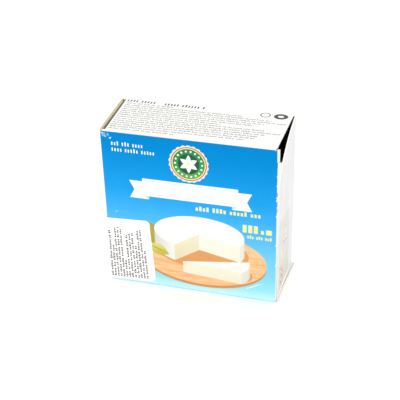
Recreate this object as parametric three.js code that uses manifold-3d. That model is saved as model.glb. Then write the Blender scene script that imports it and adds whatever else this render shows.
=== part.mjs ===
// A small folding carton for a round soft cheese, shut and standing on a long narrow side.
// Four panels make a sleeve. At each end an inner flap folds in from the front panel, and an outer flap
// folds round from the back panel and is glued over it, with its upper front corner curled away.
// A paper label lies low on the front and is wrapped round the left edge.
// Millimetres, +Z up, front towards -Y, origin at the middle of the base.
import * as THREE from "three";
import { mergeVertices } from "three/addons/utils/BufferGeometryUtils.js";
import Module from "manifold-3d";

const wasm = await Module();
wasm.setup();

// Sizes of the shut carton
const WIDTH = 86;
const DEPTH = 37;
const HEIGHT = 84;
const BOARD = 0.5;
const FOLD_RADIUS = 0.9;
const FOLD_STEPS = 6;

// End flaps: where the outer one hinges, and how far its foot stands above the base
const HINGE_Y = 16.5;
const FLAP_FOOT = 0.9;
const FLAP_DROP = 0.1;
const GLUE_DEPTH = 0.2;
const CURL_POWER = 1.5;
const FLAP_COLUMNS = 16;
const FLAP_ROWS = 24;

// Each outer flap's free edge, how far its free upper corner leans out, how far its middle bulges,
// and the height over which it curls
const RIGHT_FLAP = { side: 1, setback: 0.8, lean: 2.95, bulge: -0.22, curl: 23 };
const LEFT_FLAP = { side: -1, setback: 1.5, lean: 0, bulge: 0.1, curl: 24 };

// The carton is a little racked: how far its upper back corners stand out to the right and to the left
const RIGHT_RACK = 0.4;
const LEFT_RACK = 1.5;

// The base panel's cut ends splay out a little under the flaps, more towards the back: x and y along the edge
const LIP_EDGE = [[42.1, -17.6], [44.3, 17.4]];

// Openings seen beside the flaps under the top panel's cut ends
const GAP_DEPTH = 16;
const RIGHT_GAP_WALL = 1.6;
const RIGHT_GAP_REACH = 9;
const RIGHT_GAP_EDGE = 0.7;
const LEFT_GAP_WALL = 1.6;
const LEFT_GAP_EDGE = 0.65;
const LEFT_GAP_FRONT = 2.2;
const LEFT_GAP_BACK = 1.9;

// Paper label: its size on the flat, its tilt, and where it meets the carton's left front edge
const LABEL_ON_FRONT = 23;
const LABEL_ON_END = 12;
const LABEL_HEIGHT = 35.8;
const LABEL_FOOT = 0.78;
const LABEL_TILT = THREE.MathUtils.degToRad(2.9);
const LABEL_CORNER = 2.2;
const LABEL_PAPER = 0.2;
const LABEL_GAP = 0.05;

const FRONT_Y = -DEPTH / 2;
const BACK_Y = DEPTH / 2;
const END_X = WIDTH / 2;
const INNER_END_X = END_X - BOARD;

function solidFromTriangles(points, triangles) {
  const mesh = new wasm.Mesh({
    numProp: 3,
    vertProperties: new Float32Array(points.flat()),
    triVerts: new Uint32Array(triangles.flat()),
  });
  mesh.merge();
  return new wasm.Manifold(mesh);
}

function solidFromGeometry(geometry) {
  geometry.deleteAttribute("normal");
  geometry.deleteAttribute("uv");
  const merged = mergeVertices(geometry, 1e-4);
  const mesh = new wasm.Mesh({
    numProp: 3,
    vertProperties: new Float32Array(merged.attributes.position.array),
    triVerts: new Uint32Array(merged.index.array),
  });
  return new wasm.Manifold(mesh);
}

function box(low, high) {
  const size = high.map((value, axis) => value - low[axis]);
  const geometry = new THREE.BoxGeometry(...size);
  geometry.translate(...low.map((value, axis) => value + size[axis] / 2));
  return solidFromGeometry(geometry);
}

function extrude(outline, length) {
  const shape = new THREE.Shape(outline.map(([x, y]) => new THREE.Vector2(x, y)));
  return new THREE.ExtrudeGeometry(shape, { depth: length, bevelEnabled: false });
}

// A quarter turn about a centre, from one angle to the next a right angle on
function foldArc(centre, startAngle, radius = FOLD_RADIUS) {
  const points = [];
  for (let step = 0; step <= FOLD_STEPS; step += 1) {
    const angle = startAngle + (Math.PI / 2) * (step / FOLD_STEPS);
    points.push([centre[0] + radius * Math.cos(angle), centre[1] + radius * Math.sin(angle)]);
  }
  return points;
}

// The sleeve's four panels seen along X, with rounded creases between them
function sleeveSection() {
  const low = FRONT_Y + FOLD_RADIUS;
  const high = BACK_Y - FOLD_RADIUS;
  const outline = [
    ...foldArc([low, FOLD_RADIUS], Math.PI),
    ...foldArc([high, FOLD_RADIUS], 1.5 * Math.PI),
    ...foldArc([high, HEIGHT - FOLD_RADIUS], 0),
    ...foldArc([low, HEIGHT - FOLD_RADIUS], 0.5 * Math.PI),
  ];
  const geometry = extrude(outline, 2 * WIDTH);
  // The section's (y, z) goes to Y and Z, and the length to X
  geometry.applyMatrix4(new THREE.Matrix4().set(0, 0, 1, -WIDTH, 1, 0, 0, 0, 0, 1, 0, 0, 0, 0, 0, 1));
  return solidFromGeometry(geometry);
}

// The carton seen from above: the outer flaps' hinges stand a board's thickness outside the inner flaps
function plan() {
  const frontFold = INNER_END_X - FOLD_RADIUS;
  const backFold = END_X - FOLD_RADIUS;
  const outline = [
    ...foldArc([-frontFold, FRONT_Y + FOLD_RADIUS], Math.PI),
    ...foldArc([frontFold, FRONT_Y + FOLD_RADIUS], 1.5 * Math.PI),
    [INNER_END_X, HINGE_Y],
    [END_X, HINGE_Y],
    ...foldArc([backFold, BACK_Y - FOLD_RADIUS], 0),
    ...foldArc([-backFold, BACK_Y - FOLD_RADIUS], 0.5 * Math.PI),
    [-END_X, HINGE_Y],
    [-INNER_END_X, HINGE_Y],
  ];
  return solidFromGeometry(extrude(outline, HEIGHT));
}

// How far an outer flap stands off the closed end: nothing at its hinge or low down, most at its free corner
function flapLean(flap, y, z) {
  const freeEdge = FRONT_Y + flap.setback;
  const reach = THREE.MathUtils.clamp((HINGE_Y - y) / (HINGE_Y - freeEdge), 0, 1);
  const lift = THREE.MathUtils.clamp((z - (HEIGHT - flap.curl)) / flap.curl, 0, 1);
  const standOff = flap.lean * reach + flap.bulge * Math.sin(Math.PI * reach);
  return standOff * lift ** CURL_POWER;
}

// A closed sheet between two grids of points with the same columns and rows
function sheet(columns, rows, outerPoint, innerPoint) {
  const points = [];
  const triangles = [];
  const across = rows + 1;
  const layer = (columns + 1) * across;
  for (const place of [outerPoint, innerPoint]) {
    for (let column = 0; column <= columns; column += 1) {
      for (let row = 0; row <= rows; row += 1) {
        points.push(place(column, row));
      }
    }
  }
  const quad = (a, b, c, d) => triangles.push([a, b, c], [a, c, d]);
  const at = (column, row, inner) => column * across + row + inner * layer;
  for (let column = 0; column < columns; column += 1) {
    for (let row = 0; row < rows; row += 1) {
      quad(at(column, row, 0), at(column + 1, row, 0), at(column + 1, row + 1, 0), at(column, row + 1, 0));
      quad(at(column, row, 1), at(column, row + 1, 1), at(column + 1, row + 1, 1), at(column + 1, row, 1));
    }
    quad(at(column, 0, 0), at(column, 0, 1), at(column + 1, 0, 1), at(column + 1, 0, 0));
    quad(at(column, rows, 0), at(column + 1, rows, 0), at(column + 1, rows, 1), at(column, rows, 1));
  }
  for (let row = 0; row < rows; row += 1) {
    quad(at(0, row, 0), at(0, row + 1, 0), at(0, row + 1, 1), at(0, row, 1));
    quad(at(columns, row, 0), at(columns, row, 1), at(columns, row + 1, 1), at(columns, row + 1, 0));
  }
  return solidFromTriangles(points, triangles);
}

function outerFlap(flap) {
  const freeEdge = FRONT_Y + flap.setback;
  const rootY = HINGE_Y + 1;
  const top = HEIGHT - FLAP_DROP;
  // Columns run from the free edge to the root on the right, and back again on the left
  const place = (depth) => (column, row) => {
    const along = column / FLAP_COLUMNS;
    const y = flap.side > 0
      ? THREE.MathUtils.lerp(freeEdge, rootY, along)
      : THREE.MathUtils.lerp(rootY, freeEdge, along);
    const z = THREE.MathUtils.lerp(FLAP_FOOT, top, row / FLAP_ROWS);
    return [flap.side * (END_X - depth + flapLean(flap, y, z)), y, z];
  };
  return sheet(FLAP_COLUMNS, FLAP_ROWS, place(0), place(BOARD + GLUE_DEPTH));
}

function baseLip() {
  const left = LIP_EDGE.map(([x, y]) => [-x, y]).reverse();
  return solidFromGeometry(extrude([...LIP_EDGE, ...left], BOARD));
}

// The space behind the right flap, under the top panel and past its cut end
function rightGap() {
  const front = FRONT_Y + RIGHT_GAP_WALL;
  const back = HINGE_Y - 1;
  const under = box(
    [INNER_END_X - RIGHT_GAP_REACH, front, HEIGHT - GAP_DEPTH],
    [INNER_END_X + 1, back, HEIGHT - BOARD],
  );
  const past = box([INNER_END_X - RIGHT_GAP_EDGE, front, HEIGHT - 2], [INNER_END_X + 1, back, HEIGHT + 1]);
  return under.add(past);
}

// The slot beside the left flaps, where the top panel's cut end stops short, most at the front
function leftGap() {
  const front = FRONT_Y + LEFT_GAP_WALL;
  const back = HINGE_Y - 1;
  const outline = [
    [-INNER_END_X + LEFT_GAP_EDGE, front],
    [-INNER_END_X + LEFT_GAP_FRONT, front],
    [-INNER_END_X + LEFT_GAP_BACK, back],
    [-INNER_END_X + LEFT_GAP_EDGE, back],
  ];
  const geometry = extrude(outline, GAP_DEPTH + 1);
  geometry.translate(0, 0, HEIGHT - GAP_DEPTH);
  return solidFromGeometry(geometry);
}

// A point moved outwards with the racked carton, most at the upper back corners
function rack(point) {
  const share = (point[0] / END_X) * ((point[1] - FRONT_Y) / DEPTH) * (point[2] / HEIGHT);
  point[0] += share * (point[0] > 0 ? RIGHT_RACK : LEFT_RACK);
}

function carton() {
  return plan()
    .intersect(sleeveSection())
    .subtract(rightGap())
    .subtract(leftGap())
    .add(outerFlap(RIGHT_FLAP))
    .add(outerFlap(LEFT_FLAP))
    .add(baseLip())
    .warp(rack);
}

// The label's path seen from above, by distance from where the bend starts: along the front panel when
// positive, round the bend and along the end when negative
function labelPlace(distance, standOff) {
  const radius = FOLD_RADIUS + BOARD;
  const centre = [-END_X + radius, FRONT_Y + radius];
  const bend = (radius * Math.PI) / 2;
  const reach = radius + standOff;
  if (distance >= 0) {
    return [centre[0] + distance, centre[1] - reach];
  }
  if (distance <= -bend) {
    return [centre[0] - reach, centre[1] - bend - distance];
  }
  const angle = distance / radius;
  return [centre[0] + reach * Math.sin(angle), centre[1] - reach * Math.cos(angle)];
}

// Distances along the label where its outline turns or it bends, from the end's edge to the front's edge
function labelColumns() {
  const left = -LABEL_ON_END;
  const right = LABEL_ON_FRONT;
  const bend = ((FOLD_RADIUS + BOARD) * Math.PI) / 2;
  const columns = [];
  for (let step = 0; step <= FOLD_STEPS; step += 1) {
    const turn = (Math.PI / 2) * (step / FOLD_STEPS);
    columns.push(left + LABEL_CORNER * (1 - Math.cos(turn)));
    columns.push(right - LABEL_CORNER * (1 - Math.cos(turn)));
    columns.push(-bend * (step / FOLD_STEPS));
  }
  return columns.sort((a, b) => a - b);
}

function label() {
  const columns = labelColumns();
  const drawnIn = (distance) => {
    const edge = Math.min(distance + LABEL_ON_END, LABEL_ON_FRONT - distance);
    const inside = Math.max(LABEL_CORNER - edge, 0);
    return LABEL_CORNER - Math.sqrt(Math.max(LABEL_CORNER ** 2 - inside ** 2, 0));
  };
  const place = (standOff) => (column, row) => {
    const distance = columns[column];
    const shrink = drawnIn(distance);
    const up = row === 0 ? shrink : LABEL_HEIGHT - shrink;
    // The tilt carries the free edge on the front over to the left as it rises; the bend stays upright
    const carried = (Math.max(distance, 0) / LABEL_ON_FRONT) * up * Math.tan(LABEL_TILT);
    const [x, y] = labelPlace(distance - carried, standOff);
    return [x, y, LABEL_FOOT + distance * Math.tan(LABEL_TILT) + up];
  };
  return sheet(columns.length - 1, 1, place(LABEL_GAP + LABEL_PAPER), place(LABEL_GAP)).warp(rack);
}

function node(name, solid, colour, roughness) {
  const { vertProperties, triVerts, numProp } = solid.getMesh();
  const geometry = new THREE.BufferGeometry();
  const positions = new Float32Array((vertProperties.length / numProp) * 3);
  for (let index = 0; index < positions.length / 3; index += 1) {
    positions.set(vertProperties.subarray(index * numProp, index * numProp + 3), index * 3);
  }
  geometry.setAttribute("position", new THREE.BufferAttribute(positions, 3));
  geometry.setIndex(new THREE.BufferAttribute(new Uint32Array(triVerts), 1));
  geometry.computeVertexNormals();
  const material = new THREE.MeshStandardMaterial({ color: colour, roughness, metalness: 0 });
  const mesh = new THREE.Mesh(geometry, material);
  mesh.name = name;
  return mesh;
}

const part = new THREE.Group();
part.add(node("carton", carton(), 0x2ba8f0, 0.45));
part.add(node("label", label(), 0xfbfbf7, 0.7));

export default part;
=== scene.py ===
"""A shut folding carton for a small soft cheese, folded in code from a flat printed blank.

The print is laid out on the blank, in millimetres, as fields of colour and simple shapes. The blank is
cut into triangles along the outlines of the print, then folded into the carton and given its thickness.
The paper label is made in the same way. The frame is in metres: +Z is up and the front panel faces -Y.
"""

import math
import random

import bpy
from mathutils import Matrix, Vector
from mathutils.geometry import delaunay_2d_cdt


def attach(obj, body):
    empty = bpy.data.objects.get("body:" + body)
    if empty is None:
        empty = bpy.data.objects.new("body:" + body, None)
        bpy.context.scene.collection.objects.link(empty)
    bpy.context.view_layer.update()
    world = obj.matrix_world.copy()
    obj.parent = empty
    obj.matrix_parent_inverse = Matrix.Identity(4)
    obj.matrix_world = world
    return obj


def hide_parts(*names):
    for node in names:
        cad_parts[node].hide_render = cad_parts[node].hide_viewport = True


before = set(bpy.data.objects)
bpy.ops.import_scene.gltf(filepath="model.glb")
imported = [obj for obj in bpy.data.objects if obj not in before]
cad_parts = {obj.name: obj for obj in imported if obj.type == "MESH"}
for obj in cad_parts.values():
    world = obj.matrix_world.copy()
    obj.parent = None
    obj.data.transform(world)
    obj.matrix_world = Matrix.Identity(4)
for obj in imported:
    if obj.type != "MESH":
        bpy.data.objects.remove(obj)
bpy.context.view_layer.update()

MM = 0.001

# Sizes of the shut carton, as in the solids
WIDTH = 86.0
DEPTH = 37.0
HEIGHT = 84.0
BOARD = 0.5
FOLD = 0.9
FOLD_STEPS = 6
FRONT_Y = -DEPTH / 2
BACK_Y = DEPTH / 2
END_X = WIDTH / 2
INNER_END_X = END_X - BOARD

# Outer end flaps: hinge line, foot above the base, drop below the top, and how they curl
HINGE_Y = 16.5
FLAP_FOOT = 0.9
FLAP_DROP = 0.1
CURL_POWER = 1.5
RIGHT_FLAP = {"side": 1, "setback": 0.8, "lean": 2.95, "bulge": -0.22, "curl": 23.0}
LEFT_FLAP = {"side": -1, "setback": 1.5, "lean": 0.0, "bulge": 0.1, "curl": 24.0}

# The carton is a little racked: how far its upper back corners stand out on the right and on the left
RACK = {1: 0.4, -1: 1.5}

# Inner end flaps, folded in from the front panel: the right one is cut away above, beside a narrow strip
TUCK = 0.15
TUCK_REACH = 4.5
INNER_TOP = {1: HEIGHT - 0.3, -1: HEIGHT - 0.2}
RIGHT_STRIP = 0.2
RIGHT_INNER_WIDE = 15.0
LEFT_INNER_WIDE = 33.8
RIGHT_NOTCH = 77.3
STRIP_SPRING = 0.75

# The base panel's cut ends, splayed under the flaps; the seam at its back; the crown of the large panels
LIP_EDGE = ((42.1, -17.6), (44.3, 17.4))
SEAM = 0.15
CROWN = 0.3

# The top panel's cut ends: straight on the right, drawn in on the left, most at the front
TOP_RIGHT = 41.8
TOP_LEFT_FRONT = 40.2
TOP_LEFT_BACK = 40.6

# The paper label
LABEL_ON_FRONT = 23.0
LABEL_ON_END = 12.0
LABEL_HEIGHT = 35.8
LABEL_FOOT = 0.78
LABEL_TILT = math.radians(2.9)
LABEL_CORNER = 2.2
LABEL_PAPER = 0.2
LABEL_GAP = 0.05

# The camera, found from the corners of the panels
CAMERA_PLACE = (119.69, -390.84, 282.06)
CAMERA_AZIMUTH = math.radians(17.04)
CAMERA_ELEVATION = math.radians(30.46)
CAMERA_ROLL = math.radians(-1.69)
CAMERA_LENS = 86.65


# Folding the blank

ARC = FOLD * math.pi / 2
FRONT_FOLD = INNER_END_X - FOLD
BACK_FOLD = END_X - FOLD
PANEL_LENGTHS = (DEPTH - 2 * FOLD, HEIGHT - 2 * FOLD, DEPTH - 2 * FOLD, HEIGHT - 2 * FOLD)
FRONT_START = PANEL_LENGTHS[0] + ARC
TOP_START = FRONT_START + PANEL_LENGTHS[1] + ARC
BACK_START = TOP_START + PANEL_LENGTHS[2] + ARC
BLANK_LENGTH = BACK_START + PANEL_LENGTHS[3] + ARC


def front_at(x, z):
    """The place on the blank of a point on the front panel."""
    return (x, FRONT_START + z - FOLD)


def top_at(x, y):
    """The place on the blank of a point on the top panel."""
    return (x, TOP_START + y - FRONT_Y - FOLD)


def back_at(x, z):
    """The place on the blank of a point on the back panel."""
    return (x, BACK_START + HEIGHT - FOLD - z)


def end_at(side, y, z):
    """The place on the blank of a point on an outer end flap."""
    return (side * (BACK_FOLD + ARC + BACK_Y - FOLD - y), BACK_START + HEIGHT - FOLD - z)


def sleeve(length):
    """The sleeve's outer face seen along X, after a length of board from the seam: y, z and the normal."""
    y, z = BACK_Y - FOLD, 0.0
    normal_y, normal_z = 0.0, -1.0
    for panel in PANEL_LENGTHS:
        flat = min(length, panel)
        y += flat * normal_z
        z -= flat * normal_y
        length -= flat
        if length <= 0:
            break
        turn = min(length, ARC) / FOLD
        centre_y, centre_z = y - FOLD * normal_y, z - FOLD * normal_z
        cosine, sine = math.cos(turn), math.sin(turn)
        normal_y, normal_z = normal_y * cosine + normal_z * sine, normal_z * cosine - normal_y * sine
        y, z = centre_y + FOLD * normal_y, centre_z + FOLD * normal_z
        length -= min(length, ARC)
        if length <= 0:
            break
    return y, z, normal_y, normal_z


def clamp(value, low=0.0, high=1.0):
    return max(low, min(high, value))


def crown(x, z):
    """How far the front and back panels swell outwards."""
    across = clamp(1 - (x / FRONT_FOLD) ** 2)
    upward = clamp(1 - ((z - HEIGHT / 2) / (HEIGHT / 2 - FOLD)) ** 2)
    return CROWN * across * upward


def flap_lean(flap, y, z):
    """How far an outer flap stands off the closed end."""
    free_edge = FRONT_Y + flap["setback"]
    reach = clamp((HINGE_Y - y) / (HINGE_Y - free_edge))
    lift = clamp((z - (HEIGHT - flap["curl"])) / flap["curl"])
    stand_off = flap["lean"] * reach + flap["bulge"] * math.sin(math.pi * reach)
    return stand_off * lift ** CURL_POWER


def racked(point):
    """A point moved outwards with the racked carton, most at the upper back corners."""
    share = point.x / END_X * (point.y - FRONT_Y) / DEPTH * point.z / HEIGHT
    return Vector((point.x + RACK[1 if point.x > 0 else -1] * share, point.y, point.z))


def fold(x, length):
    """Where a point of the blank's printed face goes on the carton."""
    side = 1 if x > 0 else -1
    reach = abs(x)
    front_z = length - FRONT_START + FOLD
    back_z = HEIGHT - FOLD - (length - BACK_START)
    flap = RIGHT_FLAP if side > 0 else LEFT_FLAP
    if reach > FRONT_FOLD and FOLD <= front_z <= INNER_TOP[side] + 0.05:
        over = reach - FRONT_FOLD
        turn = min(over, ARC) / FOLD
        flat = max(over - ARC, 0)
        y = FRONT_Y + FOLD - FOLD * math.cos(turn) + flat
        spring = flap_lean(flap, y, front_z)
        if front_z >= RIGHT_NOTCH:
            spring = min(spring, STRIP_SPRING)
        spring *= min(over / ARC, 1)
        across = FRONT_FOLD + FOLD * math.sin(turn) - TUCK * clamp(flat / TUCK_REACH) + spring
        return racked(Vector((side * across, y, front_z)))
    if reach > BACK_FOLD and length > BACK_START - FOLD and back_z > FOLD - 0.03:
        over = reach - BACK_FOLD
        turn = min(over, ARC) / FOLD
        y = BACK_Y - FOLD + FOLD * math.cos(turn) - max(over - ARC, 0)
        across = BACK_FOLD + FOLD * math.sin(turn) + flap_lean(flap, y, back_z)
        return racked(Vector((side * across, y, back_z)))
    y, z, normal_y, normal_z = sleeve(length)
    swell = crown(x, z) * abs(normal_y)
    return racked(Vector((x, y + normal_y * swell, z)))


# Cutting a printed sheet into triangles and giving it thickness


class Sheet:
    """A flat sheet with print on it: an outline, bend lines, and shapes in the order they are printed."""

    def __init__(self, outline, bare):
        self.points = []
        self.lines = []
        self.shapes = []
        self.inks = []
        self.add(outline, bare)

    def add(self, outline, ink):
        first = len(self.points)
        pairs = zip(outline, outline[1:] + outline[:1])
        turns_left = sum(start[0] * end[1] - end[0] * start[1] for start, end in pairs) > 0
        self.points.extend(Vector(point) for point in (outline if turns_left else reversed(outline)))
        self.shapes.append(list(range(first, len(self.points))))
        self.inks.append(ink)

    def line(self, start, end):
        first = len(self.points)
        self.points.extend((Vector(start), Vector(end)))
        self.lines.append((first, first + 1))

    def triangles(self):
        """Points, triangles inside the outline, and the ink that is on top in each."""
        points, _, faces, _, _, sources = delaunay_2d_cdt(self.points, self.lines, self.shapes, 0, 1e-4)
        kept = [(face, max(source)) for face, source in zip(faces, sources) if 0 in source]
        return points, [face for face, _ in kept], [self.inks[top] for _, top in kept]


def slope_normal(place, point, step=0.02):
    """The normal of a folded face at a point of the blank."""
    along_x = place(point[0] + step, point[1]) - place(point[0] - step, point[1])
    along_y = place(point[0], point[1] + step) - place(point[0], point[1] - step)
    return along_x.cross(along_y).normalized()


def folded_piece(name, sheet, place, thickness, inside, cut, materials):
    """A closed mesh of a folded sheet: printed face, inside and cut edges, the last two varying by place."""
    flat_points, triangles, inks = sheet.triangles()
    used = sorted({index for triangle in triangles for index in triangle})
    order = {index: rank for rank, index in enumerate(used)}
    outer = [place(flat_points[index][0], flat_points[index][1]) for index in used]
    normals = [slope_normal(place, flat_points[index]) for index in used]
    inner = [point - normal * thickness for point, normal in zip(outer, normals)]
    count = len(used)

    faces, face_inks, loop_normals = [], [], []
    open_edges = {}
    for triangle, ink in zip(triangles, inks):
        corners = [order[index] for index in triangle]
        faces.append(corners)
        face_inks.append(ink)
        loop_normals.extend(normals[corner] for corner in corners)
        for start, end in zip(corners, corners[1:] + corners[:1]):
            if (end, start) in open_edges:
                del open_edges[(end, start)]
            else:
                open_edges[(start, end)] = True
    for corners in list(faces):
        faces.append([corner + count for corner in reversed(corners)])
        face_inks.append(inside(inner[corners[0]]))
        loop_normals.extend(-normals[corner] for corner in reversed(corners))
    for start, end in open_edges:
        faces.append([end, start, start + count, end + count])
        face_inks.append(cut(outer[start]))
        rim = (outer[start] - outer[end]).cross(inner[start] - outer[start]).normalized()
        loop_normals.extend([rim] * 4)

    mesh = bpy.data.meshes.new(name)
    mesh.from_pydata([point * MM for point in outer + inner], [], faces)
    slots = list(dict.fromkeys(face_inks))
    for slot in slots:
        mesh.materials.append(materials[slot])
    mesh.polygons.foreach_set("material_index", [slots.index(face_ink) for face_ink in face_inks])
    mesh.polygons.foreach_set("use_smooth", [True] * len(faces))
    mesh.normals_split_custom_set(loop_normals)
    mesh.update()
    piece = bpy.data.objects.new(name, mesh)
    bpy.context.scene.collection.objects.link(piece)
    return piece


# Simple shapes for the print, as lists of points


def rectangle(left, low, right, high):
    return [(left, low), (right, low), (right, high), (left, high)]


def ellipse(x, y, across, upward, start=0.0, end=360.0, steps=48):
    """Points on an ellipse between two angles in degrees; the whole of it if they are a turn apart."""
    whole = abs(end - start) >= 360
    count = steps if whole else steps + 1
    angles = [math.radians(start + (end - start) * step / steps) for step in range(count)]
    return [(x + across * math.cos(angle), y + upward * math.sin(angle)) for angle in angles]


def scallop(x, y, radius, depth, lobes, steps=160):
    points = []
    for step in range(steps):
        angle = 2 * math.pi * step / steps
        reach = radius - depth + depth * abs(math.sin(lobes * angle / 2))
        points.append((x + reach * math.cos(angle), y + reach * math.sin(angle)))
    return points


def leaf(x, y, length, width, angle, steps=12):
    """A pointed leaf from its stalk at a place, lying along an angle in degrees."""
    direction = math.radians(angle)
    cosine, sine = math.cos(direction), math.sin(direction)
    half = [(step / steps, math.sin(math.pi * (step / steps) ** 0.85)) for step in range(steps + 1)]
    edge = [(length * along, width / 2 * out) for along, out in half]
    edge += [(length * along, -width / 2 * out) for along, out in reversed(half[1:-1])]
    return [(x + along * cosine - out * sine, y + along * sine + out * cosine) for along, out in edge]


def blot(draw, x, y, across, upward, angle=0.0, steps=11):
    """An uneven little spot, such as a scuff."""
    direction = math.radians(angle)
    points = []
    for step in range(steps):
        turn = 2 * math.pi * step / steps
        reach = draw.uniform(0.55, 1.0)
        along, out = across * reach * math.cos(turn), upward * reach * math.sin(turn)
        points.append((
            x + along * math.cos(direction) - out * math.sin(direction),
            y + along * math.sin(direction) + out * math.cos(direction),
        ))
    return points


def print_row(draw, left, right, level, height, pitch, stroke, word=(3, 9)):
    """Little upright blocks in groups, which stand for a row of small print."""
    blocks = []
    x = left
    while x + stroke < right:
        for _ in range(draw.randint(*word)):
            if x + stroke > right:
                break
            tall = height * draw.choice((0.72, 0.72, 0.8, 1.0))
            blocks.append(rectangle(x, level, x + stroke, level + tall))
            x += pitch
        x += pitch * 0.75
    return blocks


# Materials


def linear(code):
    """A colour written as six hexadecimal digits, as linear red, green, blue and alpha."""
    parts = [int(code[index:index + 2], 16) / 255 for index in (0, 2, 4)]
    return [part / 12.92 if part <= 0.04045 else ((part + 0.055) / 1.055) ** 2.4 for part in parts] + [1.0]


class Shader:
    """A material under construction, with short ways to add and join its nodes."""

    def __init__(self, name):
        self.material = bpy.data.materials.new(name)
        self.material.use_nodes = True
        self.nodes = self.material.node_tree.nodes
        self.links = self.material.node_tree.links
        self.surface = self.nodes["Principled BSDF"]
        self.place = self.add("ShaderNodeTexCoord").outputs["Object"]

    def add(self, kind, settings=None, **inputs):
        node = self.nodes.new(kind)
        for key, value in (settings or {}).items():
            setattr(node, key, value)
        for key, value in inputs.items():
            self.set(node.inputs[key.replace("_", " ")], value)
        return node

    def set(self, socket, value):
        if isinstance(value, bpy.types.NodeSocket):
            self.links.new(value, socket)
        else:
            socket.default_value = value

    def noise(self, size, detail=2.0, stretch=(1, 1, 1)):
        """Noise whose features are about a size in millimetres, drawn out along each axis by a factor."""
        scale = [1 / (size * MM * factor) for factor in stretch]
        moved = self.add("ShaderNodeMapping", Vector=self.place, Scale=scale).outputs["Vector"]
        node = self.add("ShaderNodeTexNoise", Vector=moved, Scale=1.0, Detail=detail)
        return node.outputs["Fac"]

    def spread(self, value, low, high, to_low=0.0, to_high=1.0, smooth=False):
        settings = {"interpolation_type": "SMOOTHSTEP" if smooth else "LINEAR"}
        node = self.add("ShaderNodeMapRange", settings, Value=value, From_Min=low, From_Max=high,
                        To_Min=to_low, To_Max=to_high)
        return node.outputs["Result"]

    def axis(self, letter):
        return self.add("ShaderNodeSeparateXYZ", Vector=self.place).outputs[letter]

    def sums(self, operation, first, second):
        node = self.add("ShaderNodeMath", {"operation": operation})
        self.set(node.inputs[0], first)
        self.set(node.inputs[1], second)
        return node.outputs["Value"]

    def ramp(self, value, stops):
        """Colours along a value, as pairs of place and colour code."""
        node = self.add("ShaderNodeValToRGB", Fac=value)
        marks = node.color_ramp.elements
        while len(marks) < len(stops):
            marks.new(0.5)
        for mark, (place, code) in zip(marks, stops):
            mark.position = place
            mark.color = linear(code)
        return node.outputs["Color"]

    def mix(self, factor, first, second):
        node = self.add("ShaderNodeMix", {"data_type": "RGBA"})
        colours = [socket for socket in node.inputs if socket.type == "RGBA"]
        self.set(node.inputs[0], factor)
        self.set(colours[0], first)
        self.set(colours[1], second)
        return next(socket for socket in node.outputs if socket.type == "RGBA")

    def finish(self, colour, roughness, specular, tooth, mottle, size=1.2):
        """Ink or bare board: faint cloudiness in the tone, and the fine tooth of the paper."""
        cloud = self.spread(self.noise(size * 6, 3.0), 0.3, 0.7, 1 - mottle, 1 + mottle)
        tinted = self.add("ShaderNodeHueSaturation", Color=colour, Value=cloud)
        self.set(self.surface.inputs["Base Color"], tinted.outputs["Color"])
        dull = self.spread(self.noise(size * 3, 2.0), 0.3, 0.7, roughness - 0.05, roughness + 0.05)
        self.set(self.surface.inputs["Roughness"], dull)
        self.surface.inputs["Specular IOR Level"].default_value = specular
        grain = self.noise(size * 0.35, 3.0)
        bump = self.add("ShaderNodeBump", Height=grain, Strength=tooth, Distance=0.05 * MM)
        self.set(self.surface.inputs["Normal"], bump.outputs["Normal"])
        return self.material


def ink(name, code, roughness=0.42, specular=0.14, tooth=0.25, mottle=0.02):
    return Shader(name).finish(linear(code), roughness, specular, tooth, mottle)


def upright_ramp(name, stops, low=0.0, high=HEIGHT, axis="Z", **looks):
    """A printed field whose colour changes along an axis between two places in millimetres."""
    shader = Shader(name)
    along = shader.spread(shader.axis(axis), low * MM, high * MM)
    settings = {"roughness": 0.42, "specular": 0.14, "tooth": 0.25, "mottle": 0.02, **looks}
    return shader.finish(shader.ramp(along, stops), **settings)


def wood_print(name):
    """The pictured board: long streaks of grain."""
    shader = Shader(name)
    streaks = shader.noise(1.0, 4.0, (14, 1, 1.1))
    colour = shader.ramp(streaks, [(0.3, "EFAE70"), (0.5, "F6C18A"), (0.72, "FAD3A4")])
    return shader.finish(colour, 0.42, 0.25, 0.25, 0.02)


def end_board(name):
    """White board of the end flaps, a little greyer than the other panels as painted shade on the ends, and
    rubbed to a dull beige over the lower middle of the right end.
    """
    shader = Shader(name)
    waver = shader.spread(shader.noise(4.0, 4.0), 0.2, 0.8, -1.2 * MM, 1.2 * MM)
    y = shader.sums("ADD", shader.axis("Y"), waver)
    z = shader.sums("ADD", shader.axis("Z"), waver)
    patch = shader.spread(shader.axis("X"), 0.0, 1 * MM)
    slope = shader.sums("ADD", z, shader.sums("MULTIPLY", y, 0.17))
    for edge in (
        shader.spread(y, -15.2 * MM, -14.2 * MM, smooth=True),
        shader.spread(y, 9.2 * MM, 7.6 * MM, smooth=True),
        shader.spread(slope, 42.5 * MM, 38.5 * MM, smooth=True),
    ):
        patch = shader.sums("MULTIPLY", patch, edge)
    fibre = shader.noise(1.0, 6.0, (1, 1, 2.2))
    grey = shader.ramp(fibre, [(0.32, "CFCBC3"), (0.5, "D8D4CD"), (0.68, "DFDCD7")])
    brown = shader.ramp(fibre, [(0.32, "C9BEAF"), (0.5, "D4CBBF"), (0.68, "DBD5CD")])
    worn = shader.mix(shader.spread(z, 20 * MM, 4 * MM, smooth=True), grey, brown)
    rubbed = shader.sums("MULTIPLY", patch, shader.spread(shader.noise(7.0, 3.0), 0.25, 0.5, 0.6, 1.0))
    # Outside the rubbed patch: streaky grey, darker than the white board, as painted shade on the ends
    streaks = shader.ramp(shader.noise(2.5, 3.0, (1, 1, 12)), [(0.35, "DADAD9"), (0.65, "E4E4E3")])
    colour = shader.mix(rubbed, streaks, worn)
    return shader.finish(colour, 0.5, 0.14, 0.35, 0.01)


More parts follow.
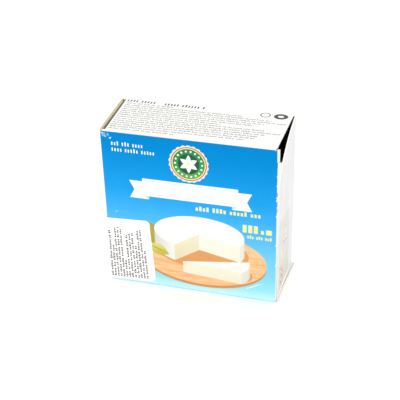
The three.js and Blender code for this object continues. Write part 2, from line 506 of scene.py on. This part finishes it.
MATERIALS = {
    "white_board": ink("white_board", "F0F0EE", 0.48, mottle=0.012),
    "end_board": end_board("end_board"),
    "tan_edge": ink("tan_edge", "D5C9B0", 0.8, 0.1, 0.6, 0.12),
    # Pale cut edges, darker pinkish grey towards the bottom as painted shade
    "pale_edge": upright_ramp("pale_edge", [(0.0, "DFD7D4"), (0.3, "E4DDD9"), (0.55, "F7F5EF")], tooth=0.6),
    # Dark brown-grey cut edges at the base: painted contact shadow where the board meets the floor
    "soiled_edge": ink("soiled_edge", "7E6E5E", 0.8, 0.1, 0.6, 0.1),
    "cream_board": ink("cream_board", "FFF9EE", 0.8, 0.1, 0.5, 0.02),
    "tan_board": ink("tan_board", "D6C7A8", 0.85, 0.1, 0.6, 0.06),
    # Painted shade: the board's inside in the gap on the right
    "dark_board": ink("dark_board", "5E5242", 0.85, 0.1, 0.6, 0.06),
    # Painted light: the base panel's inside, seen on the lips below the end flaps
    "pale_board": ink("pale_board", "F1EEE8", 0.85, 0.1, 0.6, 0.03),
    "blue_field": upright_ramp("blue_field", [
        (0.0, "CAF6FA"), (0.03, "BFF1F7"), (0.07, "9CE5F1"), (0.17, "85D7EC"), (0.3, "70C9EE"),
        (0.38, "61BFEC"), (0.54, "3AACEE"), (0.65, "1F9EE6"), (0.79, "0E93DC"), (0.9, "008AD1"),
        (1.0, "0084CB"),
    ], specular=0.03),
    "white_ink": ink("white_ink", "FCFCFA"),
    "scuffed_ink": ink("scuffed_ink", "7CC9F7"),
    "scratched_ink": ink("scratched_ink", "E2FAFC"),
    "ribbon_shade": ink("ribbon_shade", "B9DDF1"),
    "yellow_ink": ink("yellow_ink", "EFED98"),
    "seal_rim": ink("seal_rim", "F3E7C2"),
    "seal_red": ink("seal_red", "C8553F"),
    "seal_green": upright_ramp("seal_green", [(0.0, "6FAE4E"), (0.45, "3F9A50"), (1.0, "1F8048")], 62, 81),
    "seal_dark": ink("seal_dark", "1F5C3C"),
    "wood": wood_print("wood"),
    "wood_edge": ink("wood_edge", "D3925A"),
    "wood_shade": ink("wood_shade", "DE9F62"),
    "rind": upright_ramp("rind", [
        (0.0, "D8D5C6"), (0.25, "F3F2EA"), (0.7, "F1F0E8"), (1.0, "DDDACB"),
    ], -18, 31, "X"),
    "rind_top": upright_ramp("rind_top", [(0.0, "EFEEE6"), (0.5, "F5F5F2"), (1.0, "F7F7F5")], 24, 44),
    "paste": upright_ramp("paste", [(0.0, "EFE8CC"), (0.6, "F1EDD9"), (1.0, "F2F0E0")], 6, 34),
    "paste_shade": upright_ramp("paste_shade", [(0.0, "E4D9B0"), (1.0, "EBE3C4")], 14, 34),
    "leaf_light": upright_ramp("leaf_light", [(0.0, "BDB23C"), (0.5, "D3CC62"), (1.0, "E2DD8E")], 19, 27),
    "leaf_dark": ink("leaf_dark", "B0A23A"),
    "grey_ink": ink("grey_ink", "6B675F"),
    "dark_ink": ink("dark_ink", "4A4945"),
    "bruise": ink("bruise", "A08468", 0.8, 0.1, 0.5, 0.05),
    "fleck": ink("fleck", "A08A62", 0.8, 0.1, 0.5, 0.05),
    "label_paper": ink("label_paper", "FDFDFB", 0.7, 0.15, 0.4, 0.01),
    "label_ink": ink("label_ink", "40221C", 0.6, 0.1),
}


# The carton's blank


def inner_flap_edge(side):
    """The cut edge of an inner end flap, from its foot to its top."""
    bend = FRONT_FOLD + ARC
    top = INNER_TOP[side]
    wide = bend + (RIGHT_INNER_WIDE if side > 0 else LEFT_INNER_WIDE)
    edge = [(FRONT_FOLD, FOLD + 0.05), (bend, FOLD + 0.05), (bend + 3, 1.8), (wide, 8)]
    if side > 0:
        edge += [(wide, 70), (bend + RIGHT_STRIP, RIGHT_NOTCH), (bend + RIGHT_STRIP, top)]
        edge += [(FRONT_FOLD + 0.3, top), (FRONT_FOLD, HEIGHT - 1.1)]
    else:
        edge += [(wide, top - 0.8), (wide - 0.8, top), (bend + 1, top), (FRONT_FOLD, HEIGHT - 1.4)]
    return edge


def outer_flap_edge(flap):
    """The cut edge of an outer end flap, from its top to its foot, with small rounded corners."""
    free = BACK_FOLD + ARC + BACK_Y - FOLD - (FRONT_Y + flap["setback"])
    top = HEIGHT - FLAP_DROP
    return [
        (BACK_FOLD + 0.1, top - 0.3), (BACK_FOLD + 0.4, top), (free - 0.8, top), (free - 0.24, top - 0.24),
        (free, top - 0.8), (free, FLAP_FOOT + 0.8), (free - 0.24, FLAP_FOOT + 0.24), (free - 0.8, FLAP_FOOT),
        (BACK_FOLD + ARC, FLAP_FOOT), (BACK_FOLD, FLAP_FOOT + 0.3),
    ]


def cut_edge(flap, top_edge):
    """The blank's cut edge on one side, from the seam at the base round to the seam at the back."""
    notch = FRONT_FOLD - 0.1
    corner = END_X - 0.2
    points = [(corner, SEAM)]
    points += [(x, BACK_Y - FOLD - y) for x, y in reversed(LIP_EDGE)]
    points.append(front_at(INNER_END_X - 0.1, FOLD - 0.05))
    front = [(notch, FOLD), *inner_flap_edge(flap["side"]), (notch, HEIGHT - FOLD - 0.05)]
    points += [front_at(x, z) for x, z in front]
    points.append(front_at(top_edge[0][0], HEIGHT - FOLD))
    points += [top_at(x, y) for x, y in top_edge]
    hinge = BACK_FOLD - 0.1
    back = [(hinge, HEIGHT - FOLD), *outer_flap_edge(flap), (hinge, FOLD), (corner, FOLD - 0.05)]
    points += [back_at(x, z) for x, z in back]
    points.append((corner, BLANK_LENGTH))
    return points


def blank_outline():
    front, back = FRONT_Y + FOLD, BACK_Y - FOLD
    right = cut_edge(RIGHT_FLAP, [
        (FRONT_FOLD - 0.05, front), (FRONT_FOLD - 0.05, front + 0.3), (TOP_RIGHT, front + 0.4),
        (TOP_RIGHT, back - 0.3), (BACK_FOLD - 0.1, back),
    ])
    left = cut_edge(LEFT_FLAP, [
        (FRONT_FOLD - 0.05, front), (FRONT_FOLD - 0.05, front + 0.6), (TOP_LEFT_FRONT, front + 1.0),
        (TOP_LEFT_BACK, back - 2), (TOP_LEFT_BACK, back),
    ])
    return right + [(-x, length) for x, length in reversed(left)]


def add_bends(sheet):
    """Lines along which the blank bends: creases, the curl of the end flaps and the crown of the panels."""
    for start in (FRONT_START - ARC, TOP_START - ARC, BACK_START - ARC, BLANK_LENGTH - ARC):
        for step in range(FOLD_STEPS + 1):
            length = start + ARC * step / FOLD_STEPS
            sheet.line((-END_X - 1, length), (END_X + 1, length))
    for side in (-1, 1):
        for step in range(FOLD_STEPS + 1):
            x = FRONT_FOLD + ARC * step / FOLD_STEPS
            sheet.line(front_at(side * x, FOLD), front_at(side * x, HEIGHT - FOLD))
            x = BACK_FOLD + ARC * step / FOLD_STEPS
            sheet.line(back_at(side * x, FOLD), back_at(side * x, HEIGHT - FOLD))
        for step in range(16):
            y = HINGE_Y - step * 2.2
            sheet.line(end_at(side, y, HEIGHT - 24), end_at(side, y, HEIGHT))
        for step in range(13):
            z = HEIGHT - 24 + 2 * step
            sheet.line(end_at(side, HINGE_Y, z), end_at(side, FRONT_Y, z))
        for z in [HEIGHT - 24 + 2 * step for step in range(12)] + [RIGHT_NOTCH - 0.05, RIGHT_NOTCH]:
            sheet.line(front_at(side * FRONT_FOLD, z), front_at(side * (FRONT_FOLD + LEFT_INNER_WIDE), z))
    for step in range(1, 10):
        x = FRONT_FOLD * (step / 5 - 1)
        z = HEIGHT * step / 10
        for place in (front_at, back_at):
            sheet.line(place(x, FOLD), place(x, HEIGHT - FOLD))
            sheet.line(place(-FRONT_FOLD, z), place(FRONT_FOLD, z))


def print_ribbon(place, x, z, half, height):
    """A plain white ribbon with notched tails."""
    shapes = []
    tail, drop, notch = 6.6, 1.7, 2.4
    low, high = z - height / 2, z + height / 2
    for side in (-1, 1):
        outer, inner = x + side * half, x + side * (half - tail - 3)
        shapes.append(([
            (inner, low - drop), (outer, low - drop), (outer - side * notch, z - drop), (outer, high - drop),
            (inner, high - drop),
        ], "white_ink"))
        shapes.append(([
            (inner, low - drop), (inner + side * 3, low), (inner, low),
        ], "ribbon_shade"))
    body = half - tail
    shapes.append((rectangle(x - body, low, x + body, high), "white_ink"))
    for level in (low + 1.1, high - 1.4):
        shapes.append((rectangle(x - body + 1.2, level, x + body - 1.2, level + 0.35), "ribbon_shade"))
    return [([place(*point) for point in outline], name) for outline, name in shapes]


def print_seal(place, x, z, radius):
    """A round seal with a scalloped rim, a ring of dots and a flower."""
    shapes = [
        (scallop(x, z, radius, 0.55, 22), "seal_rim"),
        (ellipse(x, z, radius - 0.95, radius - 0.95), "seal_red"),
        (ellipse(x, z, radius - 1.45, radius - 1.45), "seal_rim"),
        (ellipse(x, z, radius - 1.9, radius - 1.9), "seal_green"),
    ]
    reach = radius - 3.15
    for step in range(18):
        angle = math.radians(20 * step)
        dot_x, dot_z = x + reach * math.cos(angle), z + reach * math.sin(angle)
        shapes.append((ellipse(dot_x, dot_z, 0.5, 0.5, steps=10), "white_ink"))
    shapes.append((ellipse(x, z, radius - 4.5, radius - 4.5), "seal_dark"))
    for step in range(6):
        shapes.append((leaf(x, z, radius - 5.0, 2.3, 90 + 60 * step, 8), "white_ink"))
    shapes.append((ellipse(x, z, 0.95, 0.95, steps=16), "yellow_ink"))
    return [([place(*point) for point in outline], name) for outline, name in shapes]


def print_cheese(place):
    """A wheel of soft cheese with a wedge cut from it, on an oval board, with two leaves."""
    x, z, across, upward, tall = 4.5, 34.0, 22.5, 9.6, 9.0
    near, far = -124, -26
    shapes = [
        (ellipse(6.0, 18.8, 32.0, 15.5, steps=72), "wood_edge"),
        (ellipse(6.0, 20.2, 32.0, 15.4, steps=72), "wood"),
        (leaf(-14.5, 21.0, 17.5, 7.5, 108), "leaf_dark"),
        (ellipse(x + 1.2, z - tall - 1.2, across + 1.0, upward + 0.4, steps=64), "wood_shade"),
    ]
    low = z - tall
    for start, end in ((180, 360 + near), (360 + far, 360)):
        rim = ellipse(x, z, across, upward, start, end, 24)
        foot = ellipse(x, low, across, upward, end, start, 24)
        shapes.append((rim + foot, "rind"))
    near_top = ellipse(x, z, across, upward, near, near + 1, 1)[0]
    far_top = ellipse(x, z, across, upward, far, far + 1, 1)[0]
    for (corner_x, corner_z), paste in ((near_top, "paste_shade"), (far_top, "paste")):
        shapes.append(([(x, z), (corner_x, corner_z), (corner_x, corner_z - tall), (x, low)], paste))
    shapes.append(([(x, z)] + ellipse(x, z, across, upward, far, 360 + near, 60), "rind_top"))
    shapes.append((leaf(-21.0, 24.4, 11.0, 6.4, -24), "leaf_light"))
    shapes.append((leaf(-21.0, 24.4, 10.0, 0.7, -24), "leaf_dark"))
    shapes.extend(print_wedge())
    return [([place(*point) for point in outline], name) for outline, name in shapes]


def print_wedge():
    """The cut wedge lying in front: a pale top, a creamy cut side and a curved rind."""
    tip, near, far = (-4.0, 17.0), (25.5, 14.8), (29.4, 21.6)
    tall = 6.6
    bulge = [(27.3, 15.8), (29.0, 17.7), (29.8, 19.8)]
    shadow = [(-4.4, 10.0), (25.8, 8.3), (30.6, 11.4), (31.0, 14.8), (6.0, 13.8)]
    rind = [near, *bulge, far]
    return [
        (shadow, "wood_shade"),
        (rind + [(px, pz - tall) for px, pz in reversed(rind)], "rind"),
        ([tip, near, (near[0], near[1] - tall), (tip[0], tip[1] - tall)], "paste"),
        ([tip, near, *bulge, far], "rind_top"),
    ]


def print_front(sheet, draw):
    """The front panel: a blue field with rows, a seal, a ribbon and the pictured cheese."""
    field = [
        (-43.0, -0.4), (42.4, -0.4), (42.35, 62), (42.05, 73), (42.0, HEIGHT - 0.45), (-42.4, HEIGHT - 0.1),
    ]
    sheet.add([front_at(*point) for point in field], "blue_field")
    for left, right, level in ((-37, -21, 77.1), (-37, -13.7, 74.0)):
        for block in print_row(draw, left, right, level, 2.1, 1.4, 0.62):
            sheet.add([front_at(*point) for point in block], "white_ink")
    for shapes in (print_seal(front_at, 0.6, 71.5, 9.7), print_ribbon(front_at, 0.7, 56.4, 30.0, 9.4)):
        for outline, name in shapes:
            sheet.add(outline, name)
    for outline, name in print_cheese(front_at):
        sheet.add(outline, name)
    yellow = print_row(draw, 3.4, 36.4, 47.1, 2.4, 1.75, 1.1, (4, 7))
    yellow += [rectangle(x, 38.4, x + 1.9, 42.6) for x in (26.2, 28.9, 31.6)]
    yellow += [rectangle(35.0, 38.4, 36.4, 40.4), rectangle(37.4, 38.4, 40.2, 41.0)]
    yellow += print_row(draw, 28.4, 40.4, 35.2, 1.9, 1.15, 0.75, (3, 6))
    for block in yellow:
        sheet.add([front_at(*point) for point in block], "yellow_ink")


def print_top(sheet, draw):
    """The top panel: a heading and rows of small print, with two plain marks."""
    heading = print_row(draw, -39.5, -24.2, 14.9, 3.2, 1.5, 0.65)
    heading += print_row(draw, -20.7, -1, 14.6, 3.2, 1.5, 0.7)
    rights = (-15.7, 18.8, 33.4, 41, 31, 26.6, 11.6, 32.2, 40.5, 33.7, 30.5, 29.6, 25.8, -7.8)
    rows = []
    for index, right in enumerate(rights):
        level = 12.7 - 2.15 * index
        rows += print_row(draw, -39.2, right, level, 1.35, 0.66, 0.35, (3, 10))
    for block in heading:
        sheet.add([top_at(*point) for point in block], "dark_ink")
    for block in rows:
        sheet.add([top_at(*point) for point in block], "grey_ink")
    sheet.add([top_at(*point) for point in ellipse(28.9, 15, 2.5, 2.5)], "dark_ink")
    sheet.add([top_at(*point) for point in ellipse(28.9, 15, 2.0, 1.9)], "white_board")
    sheet.add([top_at(*point) for point in ellipse(36.4, 14.8, 3.4, 2.9)], "dark_ink")
    sheet.add([top_at(*point) for point in ellipse(36.4, 14.8, 1.5, 1.1)], "white_board")


def print_back(sheet, draw):
    """The back panel: the same blue field, seal and ribbon over rows of small print."""
    sheet.add([back_at(*point) for point in rectangle(-42.2, -0.4, 42.2, HEIGHT - 0.45)], "blue_field")
    for shapes in (print_seal(back_at, 0.0, 70.5, 9.7), print_ribbon(back_at, 0.0, 54.0, 30.0, 9.4)):
        for outline, name in shapes:
            sheet.add(outline, name)
    for index in range(12):
        right = (34, 30, 36, 33, 12, 35, 31, 36, 28, 34, 32, 4)[index]
        for block in print_row(draw, -36, right, 40.5 - 3 * index, 1.5, 0.95, 0.5):
            sheet.add([back_at(-x, z) for x, z in block], "white_ink")


def print_ends(sheet, draw):
    """The outer end flaps' bare white board, with flecks of torn fibre low on the right one."""
    for side in (-1, 1):
        area = rectangle(BACK_FOLD + 0.7, FLAP_FOOT - 1, BACK_FOLD + 40, HEIGHT + 1)
        sheet.add([back_at(side * x, z) for x, z in area], "end_board")
    foot = [(-16.8, 0.95), (14.0, 0.95), (6.0, 2.2), (-6.0, 3.0), (-13.0, 2.6)]
    sheet.add([end_at(1, *point) for point in foot], "cream_board")
    worn = []
    for _ in range(18):
        y = draw.uniform(-12.2, -3.0)
        z = draw.uniform(4.5, 8 - 0.9 * y)
        spot = blot(draw, y, z, draw.uniform(0.8, 2.2), draw.uniform(0.2, 0.4), draw.uniform(-60, -35))
        worn.append((spot, "fleck"))
    for y, z, long, angle in ((-5.0, 27.6, 2.6, -33), (1.2, 25.0, 4.4, -15), (-1.9, 24.8, 1.7, -48)):
        worn.append((blot(draw, y, z, long, 0.22, angle), "fleck"))
    for y, z, tall in ((-0.4, 31.2, 2.2), (0.3, 27.0, 1.3), (-9.0, 22.8, 2.4)):
        worn.append((blot(draw, y, z, 0.5, tall), "cream_board"))
    for outline, name in worn:
        sheet.add([end_at(1, *point) for point in outline], name)


def wear_front(sheet, draw):
    """Rubbed spots: the upper left corner, nicks along the right edge and a speck; also a pale streak low on
    the right and brown marks on the edge folds.
    """
    spots = []
    for _ in range(12):
        x, z = draw.uniform(-41.6, -38.0), draw.uniform(81.2, 83.2)
        spots.append((blot(draw, x, z, draw.uniform(0.4, 0.9), 0.3, -35), "scuffed_ink"))
    spots.append((blot(draw, -37.4, 80.6, 0.7, 0.4, 40), "scratched_ink"))
    spots.append((blot(draw, -41.0, 83.0, 0.8, 0.35, 10), "white_board"))
    for z in (75.7, 70.2, 65.3, 59.0, 57.4, 49.0, 33.0, 21.5):
        spots.append((blot(draw, 42.3, z, 0.4, draw.uniform(0.4, 1.0)), "white_board"))
    # Brown marks on the edge folds: a darker line down the right fold, and raw board on the left
    for x, z, tall in ((42.6, 60.5, 1.6), (42.6, 56.0, 2.4), (42.6, 51.8, 1.8), (-42.6, 43.5, 3.2)):
        spots.append((blot(draw, x, z, 0.35, tall), "bruise"))
    # A pale streak across the lower right rim of the pictured board
    pale_streak = [(28.0, 5.7), (32.4, 8.0), (36.8, 10.7), (32.1, 8.5), (27.8, 6.1)]
    spots.append((pale_streak, "scratched_ink"))
    spots.append((blot(draw, -37.0, 40.9, 0.5, 0.25, 10), "scratched_ink"))
    for outline, name in spots:
        sheet.add([front_at(*point) for point in outline], name)


def inside_ink(point):
    """The board's inside is tan on the left, with painted shade, dark, in the gap on the right, and painted
    light, pale cream, on the base panel where its lips show.
    """
    # Painted light on the base panel's inside; painted shade on the inside at the right
    if point.z < 1:
        return "pale_board"
    return "dark_board" if point.x > 0 else "tan_board"


def edge_ink(point):
    """The cut edges carry painted contact shadow along the base; above, they are pale, darkening towards the
    bottom as painted shade, with tan tops on the left.
    """
    # Painted contact shadow: cut edges below 0.7 mm are coloured dark
    if point.z < 0.7:
        return "soiled_edge"
    return "tan_edge" if point.x < 0 and point.z > HEIGHT - 1 else "pale_edge"


def make_carton():
    draw = random.Random(7)
    sheet = Sheet(blank_outline(), "white_board")
    add_bends(sheet)
    print_ends(sheet, draw)
    print_front(sheet, draw)
    print_top(sheet, draw)
    print_back(sheet, draw)
    wear_front(sheet, draw)
    return folded_piece("folded_carton", sheet, fold, BOARD, inside_ink, edge_ink, MATERIALS)


# The paper label

LABEL_BEND_RADIUS = FOLD + BOARD
LABEL_BEND = LABEL_BEND_RADIUS * math.pi / 2


def label_place(distance, up):
    """Where a point of the label's printed face goes: along the front, round the bend and along the end."""
    z = LABEL_FOOT + distance * math.tan(LABEL_TILT) + up
    distance -= max(distance, 0) / LABEL_ON_FRONT * up * math.tan(LABEL_TILT)
    stand_off = LABEL_GAP + LABEL_PAPER
    reach = LABEL_BEND_RADIUS + stand_off
    centre_x, centre_y = -END_X + LABEL_BEND_RADIUS, FRONT_Y + LABEL_BEND_RADIUS
    if distance >= 0:
        x = centre_x + distance
        return racked(Vector((x, centre_y - reach - crown(x, z), z)))
    if distance <= -LABEL_BEND:
        return racked(Vector((centre_x - reach, centre_y - LABEL_BEND - distance, z)))
    angle = distance / LABEL_BEND_RADIUS
    return racked(Vector((centre_x + reach * math.sin(angle), centre_y - reach * math.cos(angle), z)))


def label_outline():
    left, right = -LABEL_ON_END + LABEL_CORNER, LABEL_ON_FRONT - LABEL_CORNER
    low, high = LABEL_CORNER, LABEL_HEIGHT - LABEL_CORNER
    corners = ((right, low, 270), (right, high, 0), (left, high, 90), (left, low, 180))
    points = []
    for x, y, start in corners:
        points += ellipse(x, y, LABEL_CORNER, LABEL_CORNER, start, start + 90, 8)
    return points


def blank_ink(point):
    """The label's inside and cut edges are plain paper all over."""
    return "label_paper"


def make_label():
    draw = random.Random(3)
    sheet = Sheet(label_outline(), "label_paper")
    for step in range(FOLD_STEPS + 1):
        distance = -LABEL_BEND * step / FOLD_STEPS
        sheet.line((distance, -1), (distance, LABEL_HEIGHT + 1))
    for step in range(1, 9):
        sheet.line((0, LABEL_HEIGHT * step / 9), (LABEL_ON_FRONT + 1, LABEL_HEIGHT * step / 9))
        sheet.line((LABEL_ON_FRONT * step / 9, -1), (LABEL_ON_FRONT * step / 9, LABEL_HEIGHT + 1))
    # Rows of small print run upwards, so each row is laid flat and then turned
    ends = (28.5, 20.5, 30.6, 31.2, 30.0, 12.0, 28.0, 28.4, 28.0, 21.5, 30.0, 30.6, 19.0)
    rows = [(-0.7 + 1.56 * index, end) for index, end in enumerate(ends)]
    rows += [(-11.0 + 1.5 * index, end) for index, end in enumerate((29.0, 22.0, 30.0, 26.0, 15.0))]
    for across, end in rows:
        for block in print_row(draw, 1.6, end, 0, 1.15, 0.98, 0.62, (2, 6)):
            sheet.add([(across + 1.15 - y, x) for x, y in block], "label_ink")
    return folded_piece("paper_label", sheet, label_place, LABEL_PAPER, blank_ink, blank_ink, MATERIALS)


# Floor, light and camera


def make_floor():
    shader = Shader("floor")
    shader.finish(linear("FFFFFF"), 0.7, 0.05, 0.05, 0.003, 20)
    size = 3.0
    mesh = bpy.data.meshes.new("floor")
    corners = [(-size, -size, 0), (size, -size, 0), (size, size, 0), (-size, size, 0)]
    mesh.from_pydata(corners, [], [(0, 1, 2, 3)])
    mesh.materials.append(shader.material)
    floor = bpy.data.objects.new("floor", mesh)
    bpy.context.scene.collection.objects.link(floor)


def add_light(name, place, target, size, power):
    light = bpy.data.lights.new(name, "AREA")
    light.shape = "DISK"
    light.size = size
    light.energy = power
    lamp = bpy.data.objects.new(name, light)
    lamp.location = place
    lamp.rotation_euler = (Vector(target) - Vector(place)).to_track_quat("-Z", "Y").to_euler()
    bpy.context.scene.collection.objects.link(lamp)


def make_studio():
    world = bpy.data.worlds.new("studio")
    world.use_nodes = True
    background = world.node_tree.nodes["Background"]
    background.inputs["Color"].default_value = (1.0, 1.0, 1.0, 1.0)
    background.inputs["Strength"].default_value = 1.06
    bpy.context.scene.world = world
    middle = (0, 0, HEIGHT / 2 * MM)
    add_light("key", (0.6, -0.5, 0.8), middle, 0.5, 1.5)
    add_light("fill", (-0.6, 0.3, 0.5), middle, 0.5, 1.0)
    bpy.context.scene.view_settings.view_transform = "Standard"


def make_camera():
    camera = bpy.data.objects.new("camera", bpy.data.cameras.new("camera"))
    camera.data.lens = CAMERA_LENS
    camera.data.sensor_width = 36.0
    camera.data.clip_start = 0.01
    camera.data.clip_end = 20.0
    level = math.cos(CAMERA_ELEVATION)
    back = Vector((
        math.sin(CAMERA_AZIMUTH) * level, -math.cos(CAMERA_AZIMUTH) * level, math.sin(CAMERA_ELEVATION),
    ))
    right = Vector((0, 0, 1)).cross(back).normalized()
    up = back.cross(right)
    cosine, sine = math.cos(CAMERA_ROLL), math.sin(CAMERA_ROLL)
    turned_right = cosine * right + sine * up
    turned_up = cosine * up - sine * right
    turn = Matrix((turned_right, turned_up, back)).transposed().to_4x4()
    camera.matrix_world = Matrix.Translation(Vector(CAMERA_PLACE) * MM) @ turn
    bpy.context.scene.collection.objects.link(camera)
    bpy.context.scene.camera = camera


for piece, node, slot in (
    (make_carton(), "carton", "printed_board"),
    (make_label(), "label", "label_paper"),
):
    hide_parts(node)
    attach(piece, "root")
make_floor()
make_studio()
make_camera()
